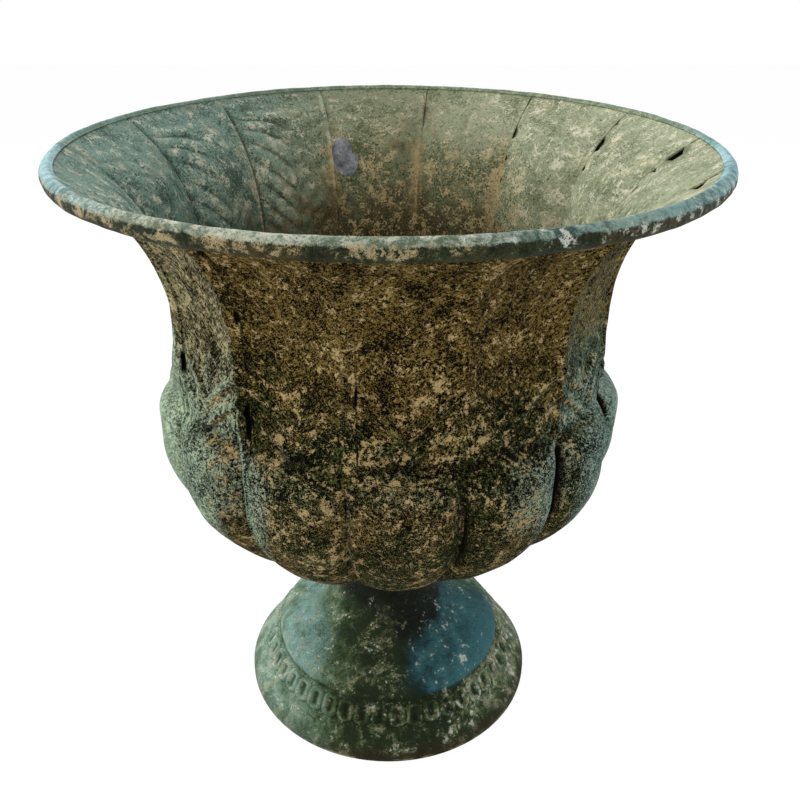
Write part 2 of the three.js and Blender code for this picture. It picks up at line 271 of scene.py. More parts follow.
def outsidePaint():
    shade = newMaterial("weatheredOutside", outsideLook)
    band, mix, lay = shade.band, shade.mix, shade.lay
    place = shade.place()
    x, y, z = shade.parts(place)
    crest = shade.attribute("crest")
    hollow = shade.attribute("hollow")
    broad, patch, blot, small, grit = shade.noises(place)
    behind = band(y, -0.015, 0.035)
    facing = shade.attribute("aside")
    facing = facing + behind * (10.0 * x - facing)
    aside = 4.5 * x + 0.55 * facing + 1.6 * behind * (broad - 0.5)
    front = band(y, 0.01, -0.08)
    # The left and right sides get paler, greener and bluer paint with less crust than the front: partly the
    # real patina, partly painted light where the side lamps fall.
    leftSide = band(aside, -0.45, -0.8)
    rightSide = band(aside, 0.5, 0.85)
    high = band(z, 0.165, 0.225)
    calm = band(z, 0.2, 0.235) * front
    teal = leftSide * (1 - high) + rightSide * (1 - 0.35 * high)
    streak = shade.noise(shade.sheetPlace(), *outsideLook["streak"])
    combed = band(z, 0.15, 0.19, 0.34, 0.08) + 0.25 * leftSide * high
    fine = grit + combed * (streak - grit)
    middle = 0.5 * blot + 0.5 * small
    green = mix(band(0.6 * fine + 0.4 * small, 0.44, 0.57), "deepGreen", "green")
    seaAt = 0.22 * broad + 0.18 * patch + 0.2 * middle + 0.4 * fine + 0.085 * teal + 0.03 * crest
    seaAt = seaAt + 0.05 * rightSide * (1 - high)
    sea = mix(leftSide * (1 - high) * (1 - 0.8 * behind), "seaGreen", "paleSea")
    sea = mix(rightSide * (1 - high), sea, "blueGreen")
    green = mix(band(seaAt, 0.51, 0.575), green, sea)
    wear = band(0.65 * fine + 0.35 * small + 0.25 * (patch - 0.5) + 0.02 * calm, 0.43, 0.57)
    earth = mix(wear, "brown", "tan")
    oliveEarth = mix(wear, "darkOlive", "olive")
    earth = mix(0.85 * leftSide + 0.45 * rightSide, earth, oliveEarth)
    crustAt = 0.2 * broad + 0.15 * patch + 0.25 * middle + 0.4 * fine + 0.05 * calm
    crust = band(crustAt - 0.05 * teal - 0.02 * (1 - high), 0.48, 0.52)
    shade.colour = mix(crust, green, earth)
    # Painted highlight: the pale bloom is laid more on the lit sides, along the crests and on the lobe
    # brows, on top of the real pale bloom of the patina.
    lit = leftSide + 0.7 * rightSide
    bloomAndHighlightAt = 0.25 * blot + 0.15 * patch + 0.3 * small + 0.3 * fine + 0.035 * leftSide - 0.012 * high
    bloomAndHighlightAt = bloomAndHighlightAt + (0.1 * leftSide + 0.06 * rightSide) * (1 - high)
    bloomAndHighlightAt = bloomAndHighlightAt + crest * crest * (0.03 + 0.11 * lit)
    away = shade.math("ABSOLUTE", x)
    browHighlight = band(away, 0.04, 0.056) * band(away, 0.08, 0.07) * front
    browHighlight = browHighlight * band(z, 0.182, 0.172) * band(z, 0.142, 0.158)
    bloomAndHighlightAt = bloomAndHighlightAt + 0.07 * browHighlight - 0.045 * behind
    bloomAndHighlight = mix(leftSide * (1 - high) * (1 - 0.9 * behind), "paleGreen", "paleTeal")
    bloomAndHighlight = mix(rightSide * (1 - high), bloomAndHighlight, "paleBlue")
    lay(band(bloomAndHighlightAt, 0.525, 0.6, 0.9), bloomAndHighlight)
    pitAt = 0.65 * (1 - fine) + 0.35 * (1 - small) + 0.15 * (0.5 - patch)
    pitAt = pitAt + 0.012 * front + 0.01 * (1 - high) + 0.02 * hollow
    pits = band(pitAt, 0.5, 0.526) * (0.5 + 0.5 * front)
    lay(pits, "black")
    flakeAt = 0.4 * blot + 0.15 * patch + 0.2 * small + 0.25 * fine + 0.012 * front - 0.01 * calm
    flakeAt = flakeAt + 0.004 * front - 0.045 * leftSide * (1 - high)
    flakeAt = flakeAt + 0.015 * leftSide * high - 0.02 * rightSide
    flake = band(flakeAt, 0.542, 0.575, 0.9) * (1 - 0.45 * leftSide)
    lay(flake, "paleTan")
    # Painted shade: black laid in the hollows of the relief, in the lobe valleys, under the leaf tips and
    # along the grooves.
    hollowShade = band(hollow * (0.5 + small), 0.28, 0.95, 0.65)
    lay(hollowShade, "black")
    # Painted shadow: a broken black line just beyond the edge of each lap, fainter on the lit sides.
    lapShadow = shade.attribute("lapShadow") * band(blot, 0.42, 0.6, 0.85) * (1 - 0.8 * lit)
    lay(lapShadow, "black")
    # Painted shadow: black in the sprung laps, the splits and the cracks.
    lay(shade.attribute("slitShadow"), "black")
    roughness = band(small, 0.35, 0.65, 0.95, 0.75)
    height = 0.4 * small + 0.4 * fine + 0.35 * blot - 0.4 * pits
    return shade.finish(roughness, height, depth=0.0013, strength=0.9, specular=0.03)


# The inside is paler: teal on the left, pale green with tan bloom on the right, brown low down
insideLook = {
    "deepTeal": (0.045, 0.075, 0.055),
    "teal": (0.2, 0.3, 0.245),
    "deepLeaf": (0.095, 0.105, 0.048),
    "leaf": (0.33, 0.355, 0.225),
    "brown": (0.06, 0.047, 0.018),
    "tan": (0.5, 0.385, 0.19),
    "chalk": (0.6, 0.59, 0.47),
    "black": (0.004, 0.004, 0.002),
    # broad, patch, blot, small and grit
    "noises": (
        (26, 3, 0.55, 0.0, (0.4, 0.1, 0.3)),
        (90, 4, 0.62, 0.4, (0.2, 0.7, 0.5)),
        (200, 4, 0.62, 0.4, (0.5, 0.3, 0.9)),
        (500, 3, 0.65, 0.0, (0.9, 0.2, 0.6)),
        (1100, 2, 0.7, 0.0, (0.3, 0.5, 0.2)),
    ),
}


def insidePaint():
    shade = newMaterial("weatheredInside", insideLook)
    band, mix, lay = shade.band, shade.mix, shade.lay
    place = shade.place()
    x, _, z = shade.parts(place)
    # rise and dip carry painted light and painted shade: the paint is lighter on the raised ribs and the
    # hem, and browner in the rib grooves and the crevice beside the hem.
    rise = shade.attribute("rise")
    dip = shade.attribute("dip")
    right = band(x, -0.095, -0.005)
    farRight = band(x, 0.02, 0.075)
    low = band(z, 0.26, 0.195)
    broad, patch, blot, small, grit = shade.noises(place)
    grain = 0.4 * small + 0.6 * grit
    heart = band(x, -0.05, -0.015) * band(x, 0.08, 0.05) * band(z, 0.272, 0.245)
    wornAndShaded = 0.2 * broad + 0.3 * patch + 0.5 * grain + 0.06 * rise - 0.06 * dip - 0.05 * heart
    leftGreen = mix(band(wornAndShaded, 0.4, 0.57), "deepTeal", "teal")
    rightGreen = mix(band(wornAndShaded + 0.01 * farRight, 0.37, 0.58), "deepLeaf", "leaf")
    shade.colour = mix(right, leftGreen, rightGreen)
    tanAt = 0.3 * patch + 0.25 * blot + 0.45 * grain + 0.02 * right + 0.025 * low + 0.03 * rise
    seamTan = shade.attribute("seamSide") * right * band(x, 0.08, 0.05)
    tanAt = tanAt + 0.115 * seamTan * band(z, 0.268, 0.252) + 0.03 * heart
    lay(band(tanAt, 0.53, 0.61, 0.75), "tan")
    chalkAt = 0.4 * blot + 0.2 * patch + 0.4 * grain + 0.05 * rise + 0.02 * farRight + 0.014 * (1 - right)
    lay(band(chalkAt, 0.525, 0.63, 0.85), "chalk")
    brownAt = 0.25 * broad + 0.25 * patch + 0.5 * grain + 0.2 * low + 0.02 * right - 0.1 * farRight
    brownAt = brownAt + 0.25 * (patch - 0.5) + 0.03 * right * band(x, 0.075, 0.045)
    lay(band(brownAt - 0.03 * rise, 0.54, 0.68, 0.9), "brown")
    lowTanAt = 0.15 * patch + 0.35 * blot + 0.25 * small + 0.25 * grit + 0.02 * low
    lowTan = band(lowTanAt, 0.52, 0.565, 0.75) * shade.math("MAXIMUM", low, heart)
    lay(lowTan * right * band(z, 0.125, 0.18, 1.0, 0.25), "tan")
    specks = band(1 - grit + 0.05 * low + 0.06 * heart - 0.03 * right, 0.6, 0.67, 0.75)
    lay(specks, "black")
    # Painted shade: brown in the rib grooves and the crevice.
    lay(band(dip * (0.5 + small), 0.45, 1.1, 0.75), "brown")
    # Painted light: the cut edge of each sheet, which sits in shade, is laid chalky to match the lit wall
    # around it.
    brink = shade.attribute("brink") * band(x, -0.02, 0.03, 0.75)
    lay(brink * band(z, 0.235, 0.255), "chalk")
    # Painted shadow: black on the inside of each sprung lap.
    lay(shade.attribute("gap"), "black")
    roughness = band(small, 0.35, 0.65, 0.92, 0.7)
    height = 0.4 * small + 0.4 * grain + 0.3 * blot + 0.3 * rise - 0.3 * dip
    return shade.finish(roughness, height, depth=0.0011, strength=0.8, specular=0.12)


rimLook = {
    "blue": (0.11, 0.24, 0.255),
    "paleBlue": (0.37, 0.56, 0.58),
    "darkTeal": (0.035, 0.075, 0.065),
    "teal": (0.19, 0.31, 0.28),
    "moss": (0.11, 0.15, 0.095),
    "paleMoss": (0.56, 0.58, 0.455),
    "green": (0.062, 0.082, 0.036),
    "under": (0.007, 0.009, 0.003),
    "brown": (0.07, 0.05, 0.018),
    "tan": (0.42, 0.335, 0.185),
    "chalk": (0.64, 0.66, 0.59),
    # broad, blot, patch, small and grit
    "noises": (
        (24, 3, 0.55),
        (130, 4, 0.65, 0.5, (0.2, 0.6, 0.8)),
        (250, 4, 0.68, 0.5, (0.3, 0.3, 0.1)),
        (640, 4, 0.7, 0.0, (0.8, 0.1, 0.6)),
        (1600, 3, 0.75, 0.0, (0.4, 0.2, 0.9)),
    ),
}


def rimPaint():
    shade = newMaterial("weatheredRim", rimLook)
    band, mix, lay = shade.band, shade.mix, shade.lay
    place = shade.place()
    up = shade.attribute("up")
    broad, blot, patch, small, grit = shade.noises(place)
    speck = 0.5 * small + 0.5 * grit
    x, y, _ = shade.parts(place)
    # Painted reflection: the top of the roll turns blue towards its left and right ends, where the bluish
    # side light glints.
    side = band(shade.math("ABSOLUTE", x) + 0.08 * (broad - 0.5), 0.07, 0.122)
    right = band(x, 0, 0.05)
    rightFront = band(x, 0.01, 0.05) * band(x, 0.12, 0.1) * band(y, -0.01, -0.04)
    wear = band(0.25 * broad + 0.35 * patch + 0.4 * speck, 0.435, 0.56)
    sideTopSheen = mix(wear, "blue", "paleBlue")
    top = mix(side, mix(wear, "moss", "paleMoss"), sideTopSheen)
    top = mix(0.8 * rightFront, top, mix(wear, "darkTeal", "teal"))
    chipAt = 0.4 * blot + 0.3 * patch + 0.3 * speck - 0.035 * side * band(up, 0.3, 0.7)
    top = mix(band(chipAt, 0.535, 0.575), top, "chalk")
    # The underside, picked by which way the surface faces, is laid near-black: partly dark paint, partly
    # painted shade under the roll.
    mossAt = 0.2 * blot + 0.2 * patch + 0.6 * speck
    under = mix(band(mossAt, 0.44, 0.58), "under", "green")
    rustAt = 0.3 * broad + 0.2 * blot + 0.5 * speck - 0.02 * right
    under = mix(band(rustAt, 0.48, 0.55, 0.85), under, "brown")
    turn = band(up + 0.9 * (blot - 0.5) + 0.7 * (speck - 0.5) + 0.1 * side, 0.28, 0.52)
    shade.colour = mix(turn, under, top)
    edge = band(up, -0.85, -0.2) * band(up, 0.85, 0.4)
    tanAt = 0.35 * blot + 0.2 * patch + 0.45 * speck + 0.045 * edge - 0.05 * right
    lay(band(tanAt, 0.545, 0.585, 0.9), "tan")
    whiteAt = 0.3 * blot + 0.3 * patch + 0.4 * speck + 0.03 * edge - 0.08 * (1 - right)
    lay(band(whiteAt, 0.555, 0.585, 0.85) * edge, "chalk")
    darkAt = 0.6 * grit + 0.4 * small - 0.05 * band(up, 0.3, 0.8)
    lay(band(darkAt, 0.53, 0.585, 0.9), "under")
    inward = shade.attribute("inward") * band(y, -0.03, 0.04)
    lining = mix(band(x, -0.09, 0.0), insideLook["teal"], insideLook["leaf"])
    lining = mix(band(0.4 * patch + 0.6 * speck, 0.44, 0.58), "moss", lining)
    lay(inward * band(speck, 0.3, 0.45, 1.0, 0.6), lining)
    roughness = band(small, 0.35, 0.65, 0.85, 0.5)
    height = 0.5 * small + 0.3 * grit + 0.4 * patch
    return shade.finish(roughness, height, depth=0.001, strength=0.9, specular=0.1)


footLook = {
    "teal": (0.115, 0.185, 0.125),
    "paleTeal": (0.285, 0.385, 0.305),
    "sky": (0.2, 0.36, 0.35),
    "deepBlue": (0.003, 0.014, 0.018),
    "blue": (0.045, 0.14, 0.155),
    "darkGreen": (0.01, 0.017, 0.005),
    "green": (0.046, 0.074, 0.026),
    "brown": (0.02, 0.016, 0.006),
    "tan": (0.28, 0.255, 0.145),
    "chalk": (0.56, 0.6, 0.51),
    "black": (0.003, 0.005, 0.002),
    # broad, patch, blot, small, grit, dots and fine dots
    "noises": (
        (30, 3, 0.55),
        (110, 4, 0.65, 0.4, (0.6, 0.1, 0.2)),
        (260, 4, 0.62, 0.3, (0.1, 0.6, 0.7)),
        (560, 4, 0.65, 0.0, (0.2, 0.8, 0.3)),
        (1200, 3, 0.7, 0.0, (0.7, 0.4, 0.5)),
        (300, 2, 0.5, 0.0, (0.9, 0.5, 0.1)),
        (640, 2, 0.5, 0.0, (0.4, 0.7, 0.8)),
    ),
}


def footPaint():
    shade = newMaterial("weatheredFoot", footLook)
    band, mix, lay = shade.band, shade.mix, shade.lay
    place = shade.place()
    x, y, z = shade.parts(place)
    crest = shade.attribute("crest")
    hollow = shade.attribute("hollow")
    broad, patch, blot, small, grit, dots, fineDots = shade.noises(place)
    speck = 0.5 * small + 0.5 * grit
    dome = band(z, 0.023, 0.026)
    sway = 0.05 * (broad - 0.5) + 0.03 * (patch - 0.5)
    leftness = band(x, 0.000, -0.06)
    rightness = band(x, 0.018, 0.062) * (1 - dome)
    behind = band(y, -0.01, 0.03)
    wear = 0.15 * broad + 0.35 * patch + 0.5 * speck + 0.05 * crest - 0.05 * hollow
    # Painted light: the paint is laid paler on the left, on the right and behind, where the side lamps fall,
    # on top of the real worn patches.
    sideLight = shade.math("MAXIMUM", shade.math("MAXIMUM", leftness, 0.5 * rightness), 0.7 * behind)
    lit = wear + 0.175 * sideLight - 0.05
    shade.colour = mix(band(lit, 0.43, 0.53), "darkGreen", "green")
    lay(band(lit, 0.51, 0.59), "teal")
    lay(band(lit, 0.59, 0.68), "paleTeal")
    # Painted reflection: a soft pale blue glint on the left of the dome.
    skyReflection = band(x + sway, -0.056, -0.046) * band(x + sway, -0.028, -0.038) * dome
    lay(skyReflection * band(wear, 0.42, 0.54, 0.6, 0.1), "sky")
    right = band(x + sway, 0.002, 0.022) * dome * (1 - behind)
    reach = x + 0.1 * (wear - 0.5) + 0.5 * sway
    blueAt = band(reach, 0.006, 0.04) * band(wear, 0.38, 0.56, 1.0, 0.6)
    far = mix(blueAt, "deepBlue", "blue")
    lay(right, far)
    tanAt = 0.25 * blot + 0.35 * patch + 0.4 * speck + 0.02 * crest - 0.05 * right + 0.015 * leftness
    tanAt = tanAt + 0.05 * rightness
    lay(band(tanAt, 0.517, 0.59, 0.72), "tan")
    # Painted shadow: the bowl's shadow laid black on the neck and the top of the dome.
    neckLow = 0.05 - 0.0095 * band(x + 0.3 * sway, -0.003, 0.006) + 0.014 * (0.5 - patch)
    bowlShadow = band(z - neckLow, -0.003, 0.003, 0.97)
    bowlShadow = bowlShadow * band(x + 0.5 * sway - 1.2 * (z - 0.05), 0.036, 0.026, 1.0, 0.25)
    bowlShadow = bowlShadow * (1 - 0.7 * band(0.3 * blot + 0.3 * patch + 0.4 * speck, 0.545, 0.58))
    lay(bowlShadow, "black")
    runAt = band(x + 0.4 * sway, -0.01, -0.003) * band(x + 0.4 * sway, 0.005, -0.001)
    runAt = runAt * band(z, 0.034, 0.041) * band(z, 0.056, 0.049)
    runAt = runAt * band(0.2 * blot + 0.3 * patch + 0.5 * speck, 0.47, 0.6, 0.7)
    lay(runAt, "tan")
    rightDots = band(x, 0.01, 0.035) * (1 - band(x, 0.036, 0.046) * dome)
    below = band(z, 0.055, 0.045)
    chalkAt = 0.6 * dots + 0.15 * small + 0.25 * patch + 0.03 * crest + 0.04 * rightDots + 0.02 * rightness
    lay(band(chalkAt, 0.6, 0.7, 0.8) * below, "chalk")
    fineAt = fineDots + 0.6 * (patch - 0.5) + 0.04 * rightDots - 0.05 * right
    lay(band(fineAt, 0.66, 0.78, 0.7) * (0.6 + 0.4 * below), "chalk")
    # Painted shade: black in the hollows between the eggs and in the groove above the band.
    lay(band(hollow * (0.5 + small), 0.35, 0.95, 0.65), "black")
    specks = band(0.6 * grit + 0.4 * small, 0.55, 0.61, 0.75)
    lay(specks, "black")
    brink = band(z + 0.01 * (patch - 0.5), 0.0085, 0.0035, 0.85) * (1 - behind)
    lay(brink * (1 - 0.7 * leftness), "brown")
    rubbed = band(z, 0.0016, 0.0006) * band(patch, 0.5, 0.56, 0.7)
    lay(rubbed, "tan")
    roughness = band(small, 0.35, 0.65, 0.9, 0.6)
    height = 0.45 * small + 0.4 * grit + 0.35 * blot
    return shade.finish(roughness, height, depth=0.0011, strength=0.9, specular=0.12)


steelLook = {
    "dark": (0.10, 0.10, 0.09),
    "light": (0.28, 0.27, 0.25),
    "rust": (0.13, 0.065, 0.028),
    "metallic": 0.7,
}
solderLook = {
    "dark": (0.075, 0.080, 0.095),
    "light": (0.24, 0.25, 0.28),
    "rust": (0.12, 0.13, 0.09),
    "metallic": 0.25,
}
metalNoises = ((130, 4, 0.6), (900, 3, 0.65, 0.0, (0.5, 0.2, 0.7)))


def dullMetal(name, look):
    shade = newMaterial(name, {**look, "noises": metalNoises})
    patch, grit = shade.noises(shade.place())
    shade.colour = shade.mix(shade.band(patch, 0.35, 0.65), "dark", "light")
    shade.lay(shade.band(0.6 * patch + 0.4 * grit, 0.52, 0.62), "rust")
    roughness = shade.band(grit, 0.3, 0.7, 0.85, 0.45)
    return shade.finish(roughness, grit, depth=0.0004, strength=0.6, specular=0.5, metallic=look["metallic"])


paint = {
    "outside": outsidePaint(),
    "inside": insidePaint(),
    "rim": rimPaint(),
    "foot": footPaint(),
    "steel": dullMetal("dullSteel", steelLook),
    "solder": dullMetal("greySolder", solderLook),
}
print("stage: materials ready")


def putOn(thing, *materials):
    thing.data.materials.clear()
    for material in materials:
        thing.data.materials.append(material)


def setAttribute(thing, name, values):
    layer = thing.data.attributes.new(name, "FLOAT", "POINT")
    layer.data.foreach_set("value", np.asarray(values, np.float32))


def setSheetMap(thing, places):
    while thing.data.uv_layers:
        thing.data.uv_layers.remove(thing.data.uv_layers[0])
    layer = thing.data.uv_layers.new(name="sheet")
    corners = np.empty(len(thing.data.loops), np.int32)
    thing.data.loops.foreach_get("vertex_index", corners)
    layer.data.foreach_set("uv", places[corners].astype(np.float32).ravel())


def perVertex(thing, what):
    flat = np.empty(len(thing.data.vertices) * 3)
    thing.data.vertices.foreach_get(what, flat)
    return flat.reshape(-1, 3)


def moveTo(thing, points):
    thing.data.vertices.foreach_set("co", np.ascontiguousarray(points, np.float32).ravel())
    thing.data.update()


def pickOut(thing):
    deselectAll()
    thing.select_set(True)
    bpy.context.view_layer.objects.active = thing


def shadeSmooth(thing, degrees):
    pickOut(thing)
    bpy.ops.object.shade_smooth_by_angle(angle=math.radians(degrees))
    thing.select_set(False)


def applyAll(thing):
    pickOut(thing)
    for modifier in list(thing.modifiers):
        bpy.ops.object.modifier_apply(modifier=modifier.name)
    thing.select_set(False)


# Panels: lapped sheets with a fluted leaf above and a fat lobe below
panel = {
    "columns": 56,
    "rows": 216,
    "rowCrowding": 0.3,
    "joggleShare": 0.032,
    "lapGap": 0.12,
    "spread": ((0, 0.07, 0.11, 0.17, 0.80, 0.92, 1), (-0.5, -0.48, -0.425, -0.385, 0.40, 0.505, 0.59)),
    "hem": 0.7,
    "beadGrip": 3.9,
    "fluteDepth": 5,
    "fluteLeadIn": 34,
    "fluteHold": 70,
    "fluteEnd": 112,
    "ribHeight": 1.15,
    "freshest": (219, 32),
    "ribStart": 12,
    "ribReach": 100,
    "ribPitchTop": 11.0,
    "ribPitchBottom": 8.0,
    "ribRise": 20,
    "leafTip": 98,
    "leafRise": 18,
    "leafPower": 0.9,
    "ribLean": 0.5,
    "borderHeight": 1.5,
    "borderWidth": 2.2,
    "borderSpacing": 10,
    "midribHeight": 0.5,
    "lobeStart": 109,
    "lobeSag": 2,
    "lobeHeight": 8.6,
    "lobeSquareness": 2.4,
    "shoulderLength": 12,
    "shoulderPower": 0.72,
    "taperLength": 76,
    "taperPower": 0.8,
    "sectionPower": 0.6,
    "dent": 0.6,
    "dents": ((1, 26, 1.0), (0.4, 9, 4.0)),
    "push": 2.6,
    "pushTurn": (84, 26),
    "pushDepth": (46, 26),
    # place and width of each line, as shares of a panel
    "hemLine": (-0.487, 0.012),
    "ownEdge": (-0.5, 0.03),
    "farEdge": (0.59, 0.014),
    "creviceLine": (0.475, 0.022),
    "lapShadow": (-0.403, 0.006),
    "crackLine": (-0.403, 0.008),
    # start and length of each fade; a minus runs it backwards
    "ribsIn": (7, 9),
    "ribSides": (0.96, -0.24),
    "ribMiddle": (0, 0.06),
    "leafEnd": (3, 4),
    "barbsIn": (0, 30),
    "barbsOut": (90, 30),
    "borderSides": (0.86, -0.4),
    "midribIn": (9, 10),
    "ledgeSides": (1, -0.15),
    "tipSides": (1, -0.1),
    "valleyIn": 14,
    "flareIn": (2, 6),
    "flareOut": (95, 15),
    "crispTurn": (48, 14),
    "oneSide": (-0.12, 0.2),
    "beadOut": (6, 6),
    "dentIn": (6, 12),
    "dentOut": 20,
    "springIn": (5.5, 4),
    "springSide": (0.26, 0.24),
    "pocketSide": (0.50, 0.07),
    "pocketOut": (40, 8),
    "slitIn": (45, 10),
    "brinkSide": (-0.4955, -0.0045),
    "ownSide": (-0.392, -0.010),
    "gapSide": (0.489, 0.010),
    "farSide": (0.582, 0.006),
    "smoothAngle": 50,
}

# Where a lap has sprung open: seam number, depth, half length and lift in millimetres
openSeams = [
    (-2, 87, 5, 0.8), (-1, 97, 8, 1.2), (-1, 55, 3, 0.7), (0, 23, 2, 1.5),
    (0, 80, 4, 0.8), (3, 8, 5.0, 1.4), (4, 3, 1.4, 0.8), (4, 11.6, 4.4, 1.9),
    (4, 22, 1.3, 1.1), (4, 33, 3.0, 1.8), (5, 7, 1.8, 1.0), (5, 20.5, 4.4, 1.8),
    (5, 33, 1.6, 1.1), (6, 4, 2.6, 1.3), (6, 23, 3.4, 1.7), (6, 36, 1.3, 1.1),
    (6, 46, 1.4, 1.1), (6, 68, 1.4, 1.1), (7, 17, 7, 0.7),
]

# Where two lobes have split apart at the seam, sunk and painted black as the split's shade: seam number,
# depth, half length, half width as a share of a panel, and how deep the split is in millimetres
rifts = [(1, 144, 25, 0.013, 2.2), (2, 130, 24, 0.031, 3.4), (3, 112, 12, 0.046, 3.2)]

# Where the edge of a lap is painted with a black line of shadow: seam number, depth and half length
cracks = [(-1, 28, 13), (-1, 59, 4), (0, 104, 6)]


def fade(value, name):
    return ramp(value, *panel[name])


# Lines across the leaf run down to its middle, like the barbs of a feather
def chevron(across, depth):
    return depth + panel["ribRise"] * across * fade(depth, "barbsIn")


def ribPhase(depth):
    top, bottom = panel["ribPitchTop"], panel["ribPitchBottom"]
    reach = panel["ribReach"]
    share = np.clip((depth - panel["ribStart"]) / reach, 0, 1.2)
    local = top - (top - bottom) * share
    return -reach / (top - bottom) * np.log(local / top)


# Outward relief; its raised places are painted lighter, as wear and as painted highlight, and its sunk
# places get painted shade
def panelRelief(across, depth, ribStrength, crisp=0.0):
    spacing, width = panel["borderSpacing"], panel["borderWidth"]
    leafEdge = panel["leafTip"] - panel["leafRise"] * across ** panel["leafPower"]
    inLeaf = fade(leafEdge - depth, "leafEnd")
    phase = 2 * math.pi * ribPhase(chevron(across, depth))
    ribs = 0.5 + 0.5 * np.cos(phase + panel["ribLean"] * np.sin(phase))
    ribRoom = fade(depth, "ribsIn") * fade(across, "ribSides") * inLeaf
    ribRoom = ribRoom * fade(across, "ribMiddle")
    rib = ribs * ribRoom * ribStrength
    furrow = (1 - ribs) * ribRoom * ribStrength
    fluted = 1 - ramp(depth, panel["fluteHold"], panel["fluteEnd"] - panel["fluteHold"])
    fluted = ramp(depth, panel["beadGrip"], panel["fluteLeadIn"]) * fluted
    flute = -panel["fluteDepth"] * fluted * (1 - across ** 2)
    midrib = hump(across, 0, 0.05) * fade(depth, "midribIn") * inLeaf
    lower = leafEdge + spacing
    shoulderLine = panel["lobeStart"] + panel["lobeSag"] * across ** 2
    border = hump(depth, leafEdge, width) + 0.9 * hump(depth, lower, width)
    border = border * (1 - (1 - crisp) * (1 - fade(across, "borderSides")))
    ledge = hump(depth, shoulderLine + 0.5, 2.0) * (1 - 0.8 * crisp) * fade(across, "ledgeSides")
    groove = hump(depth, lower + 2.6, 1.6)
    climb = np.clip((depth - shoulderLine) / panel["shoulderLength"], 0, 1)
    shoulder = np.sin(climb * math.pi / 2) ** panel["shoulderPower"]
    taper = np.clip((padDepth - depth) / panel["taperLength"], 0, 1) ** panel["taperPower"]
    section = np.clip(1 - across ** panel["lobeSquareness"], 0, 1) ** panel["sectionPower"]
    lobe = shoulder * taper * section
    out = flute + panel["ribHeight"] * (rib - furrow) / 2 + panel["midribHeight"] * midrib
    out = out + panel["borderHeight"] * border - 0.5 * groove + panel["lobeHeight"] * lobe
    browLine = hump(depth, shoulderLine + 7, 8) * section
    crest = 0.5 * rib + 0.9 * border + 0.35 * lobe + 0.6 * browLine + 0.7 * ledge
    valley = 0.7 * hump(across, 1, 0.12) * ramp(depth, shoulderLine, panel["valleyIn"]) * taper
    underTip = hump(depth, shoulderLine - 1, 3.0) * fade(across, "tipSides") * (0.1 + 0.5 * crisp)
    between = hump(depth, leafEdge + 0.5 * spacing, 2.2) + 0.7 * hump(depth, leafEdge - 4.5, 1.6)
    hollow = 0.8 * valley + underTip + 0.4 * furrow + 0.4 * groove + 0.3 * between
    return out, np.clip(crest, 0, 1), np.clip(hollow, 0, 1), rib, furrow


def seamLift(number, depth):
    lift = np.zeros_like(depth)
    for seam, middle, half, height in openSeams:
        if (seam - number) % urn["panels"] == 0:
            lift = np.maximum(lift, height * smooth(2.0 * (1 - np.abs(depth - middle) / (1.15 * half))))
    return lift


# How far a split or crack is open along its length
def opened(depth, middle, half, steepness):
    return smooth(steepness * (1 - np.abs(depth - middle) / half))


def splitApart(number, share, depth):
    sunk = np.zeros_like(depth)
    dark = np.zeros_like(depth)
    for seam, middle, half, width, deep in rifts:
        side = (seam - number) % urn["panels"]
        if side in (0, 1):
            away = share - side + 0.5 - 0.035
            along = opened(depth, middle, half, 1.6)
            narrowing = along * width / np.maximum(np.abs(away), 1e-4)
            sunk = np.maximum(sunk, deep * along * hump(away, 0, 1.3 * width))
            dark = np.maximum(dark, smooth(1.5 * along) * smooth(2.5 * (narrowing - 0.6)))
    for seam, middle, half in cracks:
        if (seam - number) % urn["panels"] == 0:
            line = smooth(1.8 * hump(share, *panel["crackLine"]))
            dark = np.maximum(dark, opened(depth, middle, half, 1.5) * line)
    return sunk, dark


# The sum of noises, each with its height, its size in millimetres and a seed
def dents(points, *layers):
    heights = 0
    for height, size, seed in layers:
        offset = Vector((seed, 2.3 * seed, 5.1))
        layer = [noise.noise(Vector(point) * (1 / size) + offset) for point in points]
        heights += height * np.array(layer)
    return heights


